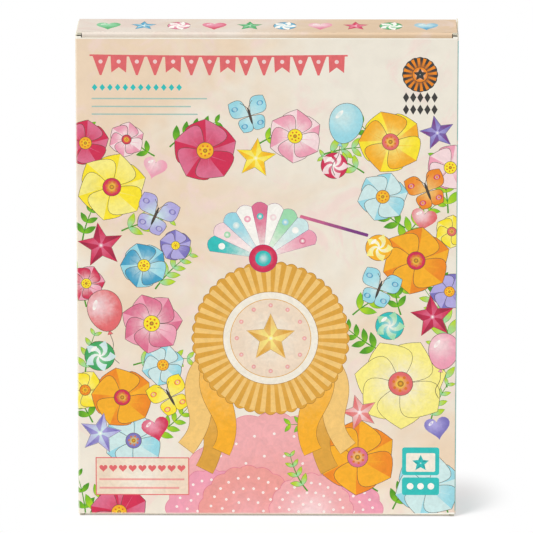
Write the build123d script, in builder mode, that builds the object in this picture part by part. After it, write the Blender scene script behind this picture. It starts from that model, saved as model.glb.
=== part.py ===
# Straight-tuck folding carton: one sheet of board folded into a tall, shallow box.
# Millimetres, +Z up, front panel towards -Y, origin at the middle of the footprint.
import os
from math import asin, degrees, pi, radians, sqrt, tan

from build123d import *

# The closed carton, outside to outside
carton_width = 204.0
carton_depth = 40.0
carton_height = 266.0

# The board and its folds
board = 0.5
corner_radius = 0.9         # outside radius of the four upright creases
flap_fold_radius = 1.1      # outside radius where a dust flap turns in
running_gap = 0.25          # air between a lid and what it lies on or swings past

# The lid and its tuck flap, the same at both ends
lid_side_gap = 0.2          # from the lid's side edge to the inside of the side wall
front_drop = 2.7            # from the top lid's outer face to the front wall's cut edge
foot_drop = 1.3             # the same at the bottom, where the weight closes the gap
roll_radius = 1.2           # middle of the board round the fold from lid to tuck flap
tuck_depth = 16.0           # from the lid's outer face to the tuck flap's free edge
tuck_inset = 2.7            # open notch between the tuck flap's end and the lid's side
tuck_corner_radius = 7.0
notch_setback = 0.3         # cut edge of the panel beside each notch, behind the roll
slit_length = 6.0           # lock slit run in from each notch along the fold
slit_width = 0.35

# The dust flaps
dust_length = 34.0
dust_front_relief = 3.2     # from the front wall's outer face to the flap
dust_rear_relief = 2.4
dust_shoulder = 2.2         # step in the front edge, beside the lock shoulder
dust_shoulder_length = 9.0
dust_straight = 5.0         # straight start of the rear edge, before its taper
dust_taper = 15.0           # degrees
dust_tip_radius = 4.0
ear_gap = 0.4               # from the ear at the fold to the end of the tuck flap

# The glue flap inside the left wall, hinged to the back wall
glue_width = 14.0
glue_end_relief = 6.0
glue_taper_rise = 6.0
raw_edge_setback = 0.25     # the left wall's cut edge stops short of the back face

# The tongue of the upper right dust flap that stands sprung beside the lid
tongue_height = 6.3         # from the top of the side wall
tongue_width = 13.0
tongue_front = 17.5         # from the front wall's outer face
tongue_slope = 2.0          # fall of its top edge towards the back
tongue_corner_radius = 1.2
tongue_cut = 0.3            # width of the cut round the tongue

# Places worked out from the sizes above
half_width = carton_width / 2
half_depth = carton_depth / 2
mid_height = carton_height / 2
hinge_y = half_depth - board
hinge_z = carton_height - board
lid_half = half_width - board - lid_side_gap
tuck_half = lid_half - tuck_inset
tuck_radius = carton_depth - 2 * board - running_gap - board / 2
flap_face = carton_height - board - running_gap
side_edge = flap_face - flap_fold_radius
back_edge = hinge_z - board - running_gap

os.makedirs("parts", exist_ok=True)

# The lid in section, in Y and Z: a flat panel, a roll at the front, and a tuck flap that
# is curved about the hinge line, so that it stays clear of the front wall as it swings.
roll_drop = roll_radius - board / 2
roll_z = hinge_z - roll_drop
roll_y = hinge_y - sqrt((tuck_radius - roll_radius) ** 2 - roll_drop**2)
roll_turn = degrees(asin(roll_drop / (tuck_radius - roll_radius)))
tuck_turn = degrees(asin((tuck_depth - board) / tuck_radius))
notch_front = hinge_y - tuck_radius - board / 2 + notch_setback

with BuildPart() as top_lid:
    with BuildSketch(Plane.YZ):
        with BuildLine():
            Line((hinge_y, hinge_z + board / 2), (roll_y, hinge_z + board / 2))
            CenterArc((roll_y, roll_z), roll_radius, 90, 90 + roll_turn)
            CenterArc((hinge_y, hinge_z), tuck_radius, 180 + roll_turn, tuck_turn - roll_turn)
        trace(line_width=board)
    extrude(amount=tuck_half, both=True)
    # the tuck flap's free corners are rounded
    with BuildSketch(Plane.XZ) as tuck_outline:
        with Locations((0, carton_height)):
            Rectangle(2 * tuck_half, 2 * tuck_depth)
        fillet(tuck_outline.vertices().group_by(Axis.Y)[0], tuck_corner_radius)
    extrude(amount=carton_depth, both=True, mode=Mode.INTERSECT)
    # the panel is wider than the tuck flap and ends in a cut edge beside each notch
    with BuildSketch(Plane.XY.offset(hinge_z)):
        with Locations((0, (hinge_y + roll_y) / 2)):
            Rectangle(2 * lid_half, hinge_y - roll_y)
        for side in (-1, 1):
            with Locations((side * (tuck_half + lid_half) / 2, (hinge_y + notch_front) / 2)):
                Rectangle(tuck_inset, hinge_y - notch_front)
    extrude(amount=board)
    # lock slits follow the line where the panel begins to roll
    with BuildSketch(Plane.XY.offset(hinge_z - board)):
        for side in (-1, 1):
            with Locations((side * (tuck_half - slit_length / 2), roll_y)):
                Rectangle(slit_length, slit_width)
    extrude(amount=3 * board, mode=Mode.SUBTRACT)
    # the crease bead runs along the hinge line
    with BuildSketch(Plane.YZ):
        with Locations((hinge_y, hinge_z)):
            Circle(board)
    extrude(amount=lid_half, both=True)

# The straight tuck: the bottom closes as the top does, hinged on the same wall.
with BuildPart() as bottom_lid:
    mirror(top_lid.part, about=Plane.XY.offset(mid_height))

# One dust flap, upper left: it turns in from the side wall and lies under the lid. An ear
# at its fold runs on to the corner, into the notch beside the tuck flap.
fold_middle = flap_fold_radius - board / 2
left_middle = -half_width + board / 2
dust_front = -half_depth + dust_front_relief
ear_front = -half_depth + corner_radius
ear_end = -tuck_half - ear_gap
dust_rear = half_depth - dust_rear_relief
dust_tip = -half_width + dust_length
taper_run = dust_length - dust_straight
taper_fall = taper_run * tan(radians(dust_taper))

with BuildPart() as dust_flap:
    with BuildSketch(Plane.XZ):
        with BuildLine():
            CenterArc((left_middle + fold_middle, side_edge), fold_middle, 180, -90)
            Line((left_middle + fold_middle, side_edge + fold_middle), (dust_tip, side_edge + fold_middle))
        trace(line_width=board)
    extrude(amount=half_depth, both=True)
    with BuildSketch(Plane.XY.offset(side_edge)) as flap_outline:
        with BuildLine():
            Polyline(
                (-half_width, ear_front),
                (ear_end, ear_front),
                (ear_end, dust_front),
                (-half_width + dust_shoulder_length, dust_front),
                (-half_width + dust_shoulder_length + dust_shoulder, dust_front + dust_shoulder),
                (dust_tip, dust_front + dust_shoulder),
                (dust_tip, dust_rear - taper_fall),
                (-half_width + dust_straight, dust_rear),
                (-half_width, dust_rear),
                close=True,
            )
        make_face()
        fillet(flap_outline.vertices().group_by(Axis.X)[-1], dust_tip_radius)
    extrude(amount=flap_fold_radius, mode=Mode.INTERSECT)

# The sprung tongue was cut from the flap along its fold: it keeps the side wall's plane
# and leaves a window in the flap as long as itself, measured round the fold.
tongue_y = -half_depth + tongue_front
fold_length = fold_middle * pi / 2
window_length = flap_fold_radius + tongue_height - fold_length

with BuildPart() as carton_body:
    # the walls in plan: the glue flap and half of the back wall, then the strip that runs on
    # round the box to the left wall's cut edge, which lies outside the glue flap
    with BuildSketch():
        with BuildLine():
            FilletPolyline(
                (left_middle + board, half_depth - board - glue_width),
                (left_middle + board, half_depth - board / 2),
                (0, half_depth - board / 2),
                radius=corner_radius - board / 2,
            )
        trace(line_width=board)
        with BuildLine():
            FilletPolyline(
                (0, half_depth - board / 2),
                (half_width - board / 2, half_depth - board / 2),
                (half_width - board / 2, -half_depth + board / 2),
                (left_middle, -half_depth + board / 2),
                (left_middle, half_depth - raw_edge_setback),
                radius=corner_radius - board / 2,
            )
        trace(line_width=board)
    extrude(amount=carton_height)

    # each wall is cut to its own height: how wide the cut is, where it starts, how far it
    # runs, and how much comes off the foot and the top. The front wall's corners stay as
    # tall as the side walls, and only its middle is cut down for the tuck flap.
    side_cut = carton_height - side_edge
    back_cut = carton_height - back_edge
    wall_cuts = (
        (carton_width, -half_depth, corner_radius, foot_drop, side_cut),
        (-2 * ear_end, -half_depth, corner_radius, foot_drop, front_drop),
        (carton_width, -half_depth + corner_radius, carton_depth - 2 * corner_radius, side_cut, side_cut),
        (carton_width, half_depth - corner_radius, corner_radius, back_cut, back_cut),
    )
    for width, start, run, foot_cut, top_cut in wall_cuts:
        with Locations((0, start + run / 2, foot_cut / 2)):
            Box(width, run, foot_cut, mode=Mode.SUBTRACT)
        with Locations((0, start + run / 2, carton_height - top_cut / 2)):
            Box(width, run, top_cut, mode=Mode.SUBTRACT)

    # the glue flap's ends taper, clear of both lids
    with BuildSketch(Plane.YZ.offset(-half_width + board)):
        with BuildLine():
            Polyline(
                (half_depth - board, 0),
                (half_depth - board, glue_end_relief),
                (half_depth - board - glue_width, glue_end_relief + glue_taper_rise),
                (half_depth - board - glue_width, 0),
                close=True,
            )
        make_face()
        mirror(about=Plane.XZ.offset(-mid_height))
    extrude(amount=board, mode=Mode.SUBTRACT)

    # four dust flaps
    add(dust_flap.part)
    mirror(dust_flap.part, about=Plane.YZ)
    mirror(dust_flap.part, about=Plane.XY.offset(mid_height))
    mirror(mirror(dust_flap.part, about=Plane.YZ, mode=Mode.PRIVATE), about=Plane.XY.offset(mid_height))

    # the window, and the tongue that stands in it
    with BuildSketch(Plane.XY.offset(side_edge)):
        with Locations((half_width - window_length / 2, tongue_y + tongue_width / 2)):
            Rectangle(window_length, tongue_width + 2 * tongue_cut)
    extrude(amount=flap_fold_radius, mode=Mode.SUBTRACT)
    with BuildSketch(Plane.YZ.offset(half_width - board)) as tongue_outline:
        with BuildLine():
            Polyline(
                (tongue_y, side_edge),
                (tongue_y, side_edge + tongue_height),
                (tongue_y + tongue_width, side_edge + tongue_height - tongue_slope),
                (tongue_y + tongue_width, side_edge),
                close=True,
            )
        make_face()
        fillet(tongue_outline.vertices().group_by(Axis.Y)[1:], tongue_corner_radius)
    extrude(amount=board)

top_lid.part.label = "top_lid"
bottom_lid.part.label = "bottom_lid"
carton_body.part.label = "carton_body"

for piece in (carton_body, top_lid, bottom_lid):
    export_step(piece.part, f"parts/{piece.part.label}.step")
    print(piece.part.label, "volume", round(piece.part.volume, 1), "mm3")
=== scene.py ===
# %% [markdown]
# A folding carton, dressed for the shelf.
# The real object is one sheet of coated board, printed, cut, creased and glued. The packed
# model already holds that sheet with its folds at their true size, so nothing here changes a
# shape. What is missing is the look: the fibre and coating of the board, and the print.
# The print could be a picture stretched over the box. Here it is drawn instead, as fields of
# colour on thin skins that lie on the board, as ink does, so it stays sharp at any distance.

from collections import namedtuple

import bpy
import numpy as np
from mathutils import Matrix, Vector
from mathutils.geometry import delaunay_2d_cdt


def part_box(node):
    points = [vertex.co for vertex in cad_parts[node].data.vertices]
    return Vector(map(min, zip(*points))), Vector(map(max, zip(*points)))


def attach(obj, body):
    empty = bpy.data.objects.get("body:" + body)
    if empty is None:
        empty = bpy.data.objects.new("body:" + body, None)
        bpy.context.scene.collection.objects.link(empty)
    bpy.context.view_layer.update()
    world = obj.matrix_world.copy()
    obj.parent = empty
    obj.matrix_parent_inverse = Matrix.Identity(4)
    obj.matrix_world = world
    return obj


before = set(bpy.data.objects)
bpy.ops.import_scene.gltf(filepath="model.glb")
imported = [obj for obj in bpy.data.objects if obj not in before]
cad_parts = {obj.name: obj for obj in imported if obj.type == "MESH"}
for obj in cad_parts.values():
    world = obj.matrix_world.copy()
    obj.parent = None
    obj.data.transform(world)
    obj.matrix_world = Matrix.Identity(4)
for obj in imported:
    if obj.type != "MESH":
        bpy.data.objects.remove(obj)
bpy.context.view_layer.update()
MM = 0.001

print("nodes:", sorted(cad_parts))

# %% [markdown]
# The carton's sizes come from the frame wherever the frame can give them: outer width and
# depth from the body, height from the lid. A few small sizes can't be read from a box, such
# as the radius of a crease, so they are named here once, in millimetres, as the board maker
# and the die maker would give them.

# %% sizes of the carton
body_corner = np.array(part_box("carton_body")[1]) / MM
lid_corner = np.array(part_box("top_lid")[1]) / MM

half_width, half_depth = body_corner[:2]
lid_half, lid_top = lid_corner[[0, 2]]

board = 0.5
crease_radius = 0.9
running_gap = 0.25
front_drop = 2.7
foot_drop = 1.3
side_drop = 1.85
back_drop = 1.25
raw_edge_setback = 0.25
roll_radius = 1.2
tuck_inset = 2.7
notch_setback = 0.3
slit_length = 6.0
slit_width = 0.35
ear_gap = 0.4

hinge_y = half_depth - board
hinge_z = lid_top - board
tuck_radius = 2 * half_depth - 2 * board - running_gap - board / 2
roll_drop = roll_radius - board / 2
roll_z = hinge_z - roll_drop
roll_y = hinge_y - np.sqrt((tuck_radius - roll_radius) ** 2 - roll_drop**2)
roll_turn = np.arcsin(roll_drop / (tuck_radius - roll_radius))
roll_length = (roll_radius + board / 2) * (np.pi / 2 + roll_turn)

print(f"carton {2 * half_width:.1f} x {2 * half_depth:.1f} x {lid_top:.1f} mm")

# %% [markdown]
# The camera stands far off with a long lens, as for a catalogue, so the upright edges stay
# nearly parallel. It looks down a little, which shows the lid as a thin strip, and it stands
# a hair to the right of the middle. Its place is written as distance, height angle and side
# angle from the point that it looks at, because those are what one would change by hand.

# %% camera
camera_distance = 3400.0
camera_elevation = np.radians(12.88)
camera_azimuth = np.radians(0.61)
camera_aim = np.array((-0.44, 0.0, 134.0))
frame_pixels = 533
focal_pixels = 6299


def into_scene(name, data):
    """A new object with the given data, linked into the scene."""
    thing = bpy.data.objects.new(name, data)
    bpy.context.scene.collection.objects.link(thing)
    return thing


back_direction = np.array(
    (
        np.sin(camera_azimuth) * np.cos(camera_elevation),
        -np.cos(camera_azimuth) * np.cos(camera_elevation),
        np.sin(camera_elevation),
    )
)
camera_data = bpy.data.cameras.new("camera")
camera_data.sensor_width = 36.0
camera_data.lens = camera_data.sensor_width * focal_pixels / frame_pixels
camera = into_scene("camera", camera_data)
camera.location = (camera_aim + back_direction * camera_distance) * MM
camera.rotation_euler = Vector(back_direction).to_track_quat("Z", "Y").to_euler()
bpy.context.scene.camera = camera

print(f"lens {camera_data.lens:.0f} mm")

# %% [markdown]
# Colours are written as they look on a screen, in hex, and turned into the linear light that
# Blender works in. The printer's palette is short: the same inks come back all over the
# carton, which is what holds a busy print together.

# %% palette
def linear(code):
    """Screen colour to linear light: a channel c is c/12.92 where dark, and elsewhere
    (c + 0.055)/1.055 to the power 2.4."""
    c = np.array([int(code[i : i + 2], 16) for i in (1, 3, 5)]) / 255
    return np.where(c <= 0.04045, c / 12.92, ((c + 0.055) / 1.055) ** 2.4)


INK = {
    name: linear(code)
    for name, code in {
        "cream": "#f3ecdc",
        "white": "#fbf8f0",
        "peach": "#efdac2",
        "blush": "#f3d3cf",
        "pale_pink": "#f6dadb",
        "pink": "#ee9fb4",
        "rose": "#dd6f8f",
        "crimson": "#d22b52",
        "wine": "#9c2342",
        "coral": "#e2696b",
        "salmon": "#ec9f98",
        "rosy": "#f0aeb0",
        "orange": "#ef8a1e",
        "rust": "#dd7424",
        "amber": "#f7b024",
        "gold": "#dda33c",
        "honey": "#f3c877",
        "ochre": "#a8752c",
        "yellow": "#fce52b",
        "lemon": "#faee86",
        "leaf": "#82c41f",
        "moss": "#4d971f",
        "mint": "#9fdcae",
        "lime": "#b9d823",
        "green": "#3fa85f",
        "teal": "#2fc0bb",
        "sea": "#1f8f93",
        "sky": "#9ad8e4",
        "ice": "#cfe9e8",
        "blue": "#3f9fc4",
        "lilac": "#b3abe0",
        "violet": "#7d74bd",
        "plum": "#7b3a80",
        "grey_green": "#a3c4b9",
        "charcoal": "#3c3a38",
        "line": "#57483a",
    }.items()
}

print(len(INK), "inks")

# %% [markdown]
# A print is a stack of flat shapes: the last one laid down hides those below it. Each shape
# is a Patch: its outline, the colour at its rim, the colour at its heart, and where that
# heart is. The shader blends from heart to rim, as a wet wash of paint dries darker at its
# edge. A patch names its inks, so a change to the palette reaches every shape at once.

# %% patches
Patch = namedtuple("Patch", "outline rim heart middle reach")


def patch(outline, rim, heart=None, middle=None):
    """One flat shape in named inks. Its heart is the mean of its outline unless another
    point is given, and its reach is the distance from there to the farthest point."""
    outline = np.asarray(outline, float)
    middle = outline.mean(axis=0) if middle is None else np.asarray(middle, float)
    reach = np.linalg.norm(outline - middle, axis=1).max()
    return Patch(outline, INK[rim], INK[heart or rim], middle, reach)


def turned(outline, angle):
    """Points turned by an angle in degrees: x cos - y sin, x sin + y cos."""
    c, s = np.cos(np.radians(angle)), np.sin(np.radians(angle))
    return outline @ np.array(((c, s), (-s, c)))


print("a patch holds:", ", ".join(Patch._fields))

# %% [markdown]
# Nearly every motif is built from four closed outlines: an oval, a leaning drop, a star and
# a heart. They could be drawn by hand as curves. Here each is a formula in one parameter that
# runs once round the shape, so its points come out as one array, and a small motif can have
# fewer of them than a large one.

# %% basic outlines
def around(radius, angle):
    """Points about the middle: the radius times the cosine and the sine of the angle."""
    return np.stack((radius * np.cos(angle), radius * np.sin(angle)), axis=-1)


def oval(width, height=None, count=32):
    """A circle of radius one, once round, times half the width and half the height."""
    t = np.arange(count) / count * 2 * np.pi
    return around(1.0, t) * (width / 2, (height or width) / 2)


def drop(length, width, lean=0.0, fullness=0.75, count=12):
    """A petal-like tip: half the width times sin(pi t^fullness) each side of a middle line
    that leans sideways with t squared."""
    t = np.linspace(0, 1, count)
    half = width / 2 * np.sin(np.pi * t**fullness)
    bend = lean * t**2
    there = np.stack((t * length, bend - half), axis=1)
    back = np.stack((t * length, bend + half), axis=1)[::-1]
    return np.concatenate((there, back[1:-1]))


def points_of_star(radius, inner, points):
    """Radius that jumps between the outer and the inner value, first tip straight up."""
    t = np.arange(2 * points) * np.pi / points + np.pi / 2
    return around(np.where(np.arange(2 * points) % 2 == 0, radius, inner), t)


def heart_shape(size, count=28):
    """The usual heart curve: x = sin cubed, y = a sum of cosines of t, 2t, 3t and 4t."""
    t = np.arange(count) / count * 2 * np.pi
    x = 16 * np.sin(t) ** 3
    y = 13 * np.cos(t) - 5 * np.cos(2 * t) - 2 * np.cos(3 * t) - np.cos(4 * t)
    return np.stack((-x, y), axis=1) * size / 32


print("points round an oval and a heart:", len(oval(1)), len(heart_shape(1)))

# %% [markdown]
# Other outlines are made from these. A band gives a path a width, for stems, strings and
# ribbons. A drawn line round a shape is the same shape pushed outwards along its normals and
# laid underneath in the line's ink, which keeps the line equally wide all the way round.
# Boxes with rounded corners serve for labels, for frames and for the sheets themselves.

# %% bands, boxes and drawn lines
def band(path, width):
    """A ribbon along a path: half the width to each side, square to the path's direction."""
    along = np.gradient(path, axis=0)
    along /= np.linalg.norm(along, axis=1, keepdims=True)
    side = np.stack((-along[:, 1], along[:, 0]), axis=1) * np.reshape(width, (-1, 1)) / 2
    return np.concatenate((path - side, (path + side)[::-1]))


def grown(outline, by):
    """Each point pushed outwards by a distance along the outline's normal."""
    along = np.roll(outline, -1, axis=0) - np.roll(outline, 1, axis=0)
    along /= np.linalg.norm(along, axis=1, keepdims=True) + 1e-9
    return outline + by * np.stack((along[:, 1], -along[:, 0]), axis=1)


def rectangle(left, low, right, high, radius=0.0, steps=6):
    """A box outline whose corners are quarter circles of the given radius."""
    if radius == 0:
        return np.array(((left, low), (right, low), (right, high), (left, high)), float)
    quarter = around(radius, np.linspace(0, np.pi / 2, steps))
    corners = ((right, high, 1, 1), (left, high, -1, 1), (left, low, -1, -1), (right, low, 1, -1))
    turns = [turned(quarter, 90 * k) for k in range(4)]
    return np.concatenate(
        [(x - sx * radius, y - sy * radius) + q for (x, y, sx, sy), q in zip(corners, turns)]
    )


def inked(outline, rim, heart=None, middle=None, line="line", weight=0.25):
    """A shape with a thin drawn line round it: the line is the same outline, grown."""
    return [patch(grown(outline, weight), line), patch(outline, rim, heart, middle)]


print("an inked shape is", len(inked(oval(1), "rose")), "patches: its line and its colour")

# %% [markdown]
# A finished motif is a short list of patches round its own origin, bottom one first. It is
# put in its place as a whole, first turned and then moved, so the motif's own numbers never
# have to know where on the panel it will end up.

# %% set a motif down
def set_down(patches, x, z, turn=0.0):
    """The patches turned about their origin and moved to a place on the panel."""
    where = np.array((x, z))
    return [
        p._replace(
            outline=turned(p.outline, turn) + where,
            middle=turned(p.middle[None], turn)[0] + where,
        )
        for p in patches
    ]


def stretched(patches, by):
    """The patches made taller, so that a motif on the lid reads right from the front."""
    return [
        p._replace(outline=p.outline * (1, by), middle=p.middle * (1, by), reach=p.reach * by)
        for p in patches
    ]


print("moved middle of a dot:", set_down([patch(oval(1), "rose")], 10, 20)[0].middle.round(1))

# %% [markdown]
# The motifs are party paper goods: pinwheels, folded stars, balloons, butterflies, swirled
# sweets, hearts, a pleated rosette and sprigs cut from green paper. First the two folded
# ones. A real pinwheel is a square cut in from its corners and turned in to the middle, so
# each blade shows both sides of its paper: hence a second ink for the folded half. A folded
# star has a crease to every tip and every valley, and one side of each point is in shade.

# %% pinwheels and folded stars
def pinwheel(size, blades, rim, heart, fold, hub):
    """Curved blades round a hub. Every blade is a leaning drop with its folded half in a
    second ink, and fine creases drawn from the hub outwards."""
    radius = size / 2
    width = 2 * radius * np.sin(np.pi / blades) * 1.12
    out = []
    for k in range(blades):
        blade = drop(radius, width, lean=0.10 * radius, fullness=1.15, count=12)
        folded = np.concatenate((blade[: len(blade) // 2 + 1], [(0.45 * radius, 0.02 * radius)]))
        parts = inked(blade, rim, heart, (0, 0))
        parts.append(patch(folded, fold, heart, (0, 0)))
        for reach in (0.30, -0.16):
            crease = np.array(((0.18 * radius, 0), (0.62 * radius, reach * width)))
            parts.append(patch(band(crease, (0.30, 0.10)), fold))
        out += set_down(parts, 0, 0, k * 360 / blades)
    out += inked(oval(0.26 * size, count=24), hub, "yellow")
    for angle in np.arange(7) * 0.9:
        seed = oval(0.034 * size, count=8) + around(0.078 * size, angle)
        out.append(patch(seed, "rust"))
    out.append(patch(oval(0.07 * size, count=14), "ochre", "amber"))
    return out


def folded_star(size, rim, heart, shade, line="line"):
    """A five-pointed paper star: each point has one side in shade, as its fold gives it."""
    star = points_of_star(size / 2, size * 0.225, 5)
    out = inked(star, rim, heart, (0, 0), line)
    for k in range(5):
        tip, valley = star[2 * k], star[(2 * k + 1) % 10]
        out.append(patch(((0, 0), tip * 0.96, valley * 0.96), shade, rim, (0, 0)))
    out.append(patch(oval(size * 0.12, count=14), heart, "white"))
    return out


print("patches in a pinwheel:", len(pinwheel(30, 6, "sky", "ice", "ice", "amber")))

# %% [markdown]
# Two motifs that look light. A balloon is an oval made wider towards its top, with a gleam
# on the side that faces the light and a string that waves more the further down it hangs. A
# butterfly's wings are the same leaning drops as a pinwheel's blades, mirrored over a slim
# body, so the two motifs look as if cut with the same scissors.

# %% balloons and butterflies
def balloon(size, rim, heart):
    """An egg of ink, narrower at its knot, with a gleam and a waving string."""
    egg = oval(size * 0.80, size)
    egg[:, 0] *= 1 + 0.22 * egg[:, 1] / size
    t = np.linspace(0, 1, 12)
    string_path = np.stack((0.09 * size * np.sin(7 * t) * t, -size * (0.56 + 0.75 * t)), axis=1)
    out = [patch(band(string_path, 0.32), "line")]
    out += inked(np.array(((-0.06, -0.58), (0.06, -0.58), (0.0, -0.48))) * size, rim)
    out += inked(egg, rim, heart, (-0.12 * size, 0.14 * size))
    gleam = turned(oval(0.10 * size, 0.26 * size, 16), -28) + (-0.20 * size, 0.18 * size)
    out.append(patch(gleam, "white", heart))
    return out


def butterfly(size, rim, heart, spot):
    """Two pairs of wings, as leaning drops mirrored over a slim body."""
    out = []
    for side in (1, -1):
        for turn, long, wide, lean in ((38, 0.62, 0.46, 0.06), (-48, 0.46, 0.40, -0.05)):
            wing = turned(drop(long * size, wide * size, lean * size, 1.35, 12), turn)
            wing[:, 0] *= side
            wing = wing[::side]
            out += inked(wing, rim, heart, (0, 0))
            eye = turned(np.array(((long * size * 0.68, 0.0),)), turn)[0] * (side, 1)
            out.append(patch(oval(0.17 * size, 0.13 * size, 16) + eye, spot, "white"))
            out.append(patch(oval(0.06 * size, count=10) + eye, rim))
    t = np.linspace(0, 1, 8)
    for side in (1, -1):
        feeler = np.stack((side * 0.16 * size * t**1.6, size * (0.16 + 0.22 * t)), axis=1)
        out.append(patch(band(feeler, 0.28), "line"))
    out.append(patch(oval(0.07 * size, 0.46 * size, 18), "charcoal", "line"))
    return out


print("patches in a balloon:", len(balloon(20, "sky", "ice")))

# %% [markdown]
# Small round motifs fill the gaps between the large ones: boiled sweets with a swirl, and
# puffed hearts. The gleam is one pale oval on the upper left of each. Being on the same side
# everywhere, it makes flat ink look rounded without any change of shape.

# %% sweets and hearts
def sweet(size, rim, heart, swirl, arms=5):
    """A round boiled sweet: curved arms of a second ink run from its middle to its rim."""
    out = inked(oval(size), rim, heart, (0, 0))
    t = np.linspace(0, 1, 7)
    for k in range(arms):
        spine = around(t * size * 0.46, 1.4 * t + k * 2 * np.pi / arms)
        out.append(patch(band(spine, 0.04 * size + 0.22 * size * t**1.3), swirl, "white", (0, 0)))
    gleam = turned(oval(0.26 * size, 0.12 * size, 14), 40) + (-0.2 * size, 0.24 * size)
    out.append(patch(gleam, "white"))
    return out


def paper_heart(size, rim, heart):
    """A heart with a gleam on its left lobe."""
    out = inked(heart_shape(size), rim, heart, (-0.1 * size, 0.12 * size))
    gleam = turned(oval(0.24 * size, 0.11 * size, 14), 35) + (-0.22 * size, 0.18 * size)
    out.append(patch(gleam, "white", heart))
    return out


print("patches in a sweet:", len(sweet(14, "crimson", "pink", "pale_pink")))

# %% [markdown]
# Sprigs are snipped from green paper and lie under everything else. A rosette is a long strip
# of paper pleated like an accordion, joined into a ring and flattened: each pleat has a lit
# and a shaded side, so wedges in two inks alternate round the ring and its rim is scalloped.

# %% sprigs and rosettes
leaf_share = 0.31


def sprig(length, bend, pairs, ink, tip):
    """A curved stem with pairs of paper leaves that shrink towards its end: the stem moves
    sideways with t squared, and a leaf's length falls in proportion to its place."""
    t = np.linspace(0, 1, 11)
    stem = np.stack((bend * t**2, length * t), axis=1)
    out = [patch(band(stem, 0.9 - 0.6 * t), "moss")]
    for k in range(pairs):
        at = (k + 0.8) / pairs
        size = leaf_share * length * (1.1 - 0.55 * at)
        foot = np.array((bend * at**2, length * at))
        lean = np.degrees(np.arctan2(length, 2 * bend * at))
        for side in (1, -1):
            leaf = turned(drop(size, size * 0.40, 0, 0.9, 8), lean + side * 48) + foot
            out += inked(leaf, ink, tip, foot, "moss", 0.2)
    return out


def rosette(outer, inner, pleats, light, dark, eye, line="ochre"):
    """A pleated paper ring: wedges in two inks between a scalloped rim and a plain eye. The
    rim's radius is the outer one plus a small share of |cos| of half the pleat count."""
    t = np.arange(6 * pleats) / (6 * pleats) * 2 * np.pi
    rim = around(outer / 2 * (1 + 0.035 * np.abs(np.cos(t * pleats / 2))), t)
    out = inked(rim, dark, light, (0, 0), line)
    step = 2 * np.pi / pleats
    r = np.array((inner * 0.48, outer * 0.5, outer * 0.5, inner * 0.48))
    for k in range(pleats):
        wedge = around(r, np.array((k, k, k + 0.5, k + 0.5)) * step)
        out.append(patch(wedge, light, dark, (0, 0)))
    out += inked(oval(inner, count=56), eye, "white", (0, 0), line)
    return out


print("patches in a sprig with five pairs of leaves:", len(sprig(25, 5, 5, "leaf", "lime")))

# %% [markdown]
# Now the front panel's design. Places are millimetres on the panel: x from its middle, z up
# from the table. A list of rows like this is how a layout is handed to a printer, and it is
# easy to change: one row is one motif. The sprigs come first, because they lie underneath.

# %% sprigs on the front
greens = (("leaf", "lime"), ("moss", "leaf"), ("lime", "mint"))
front_art = []

for x, z, turn, length, bend, pairs in (
    (-94, 194, 14, 22, 5, 4),
    (-60, 199, 62, 21, 5, 4),
    (-78, 158, -64, 27, 6, 5),
    (-99, 152, -8, 24, 5, 4),
    (-97, 116, 12, 31, -8, 6),
    (-60, 126, -34, 27, 5, 5),
    (-72, 84, -72, 30, 6, 5),
    (-98, 78, -4, 24, 4, 4),
    (-94, 52, 24, 26, -5, 5),
    (-62, 44, -62, 26, -6, 5),
    (-84, 40, -30, 22, 5, 4),
    (-52, 204, -46, 28, 8, 5),
    (-22, 196, 40, 26, -6, 5),
    (-4, 206, -58, 22, 5, 4),
    (30, 200, -70, 28, 6, 5),
    (52, 190, 54, 24, -6, 4),
    (62, 198, 22, 28, -7, 5),
    (97, 168, 2, 32, -5, 5),
    (99, 96, 14, 34, -7, 5),
    (46, 112, -48, 30, 7, 5),
    (72, 150, -25, 30, 8, 6),
    (74, 160, 60, 26, 6, 5),
    (95, 118, 8, 30, -6, 5),
    (62, 92, 66, 28, 6, 5),
    (72, 112, 20, 24, 5, 4),
    (97, 72, 6, 26, -5, 4),
    (88, 52, -12, 24, 5, 4),
    (40, 48, 72, 28, -6, 5),
    (60, 14, 58, 26, 6, 5),
    (22, 14, 40, 22, 6, 4),
    (68, 4, -24, 27, 5, 5),
    (98, 2, 16, 30, -5, 5),
    (-98, -3, 2, 27, -4, 3),
    (-97, -2, -22, 30, 5, 4),
):
    green = greens[(pairs + round(x)) % len(greens)]
    front_art += set_down(sprig(length, bend, pairs, *green), x, z, turn)

print(len(front_art), "patches of sprigs")

# %% [markdown]
# The ring of motifs. A row names its maker, then that maker's size and inks, then its place
# and turn. Later rows lie over earlier ones, so large motifs come before the small ones that
# overlap them. Warm and cool inks alternate down the panel, as they do on the real carton.

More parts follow.
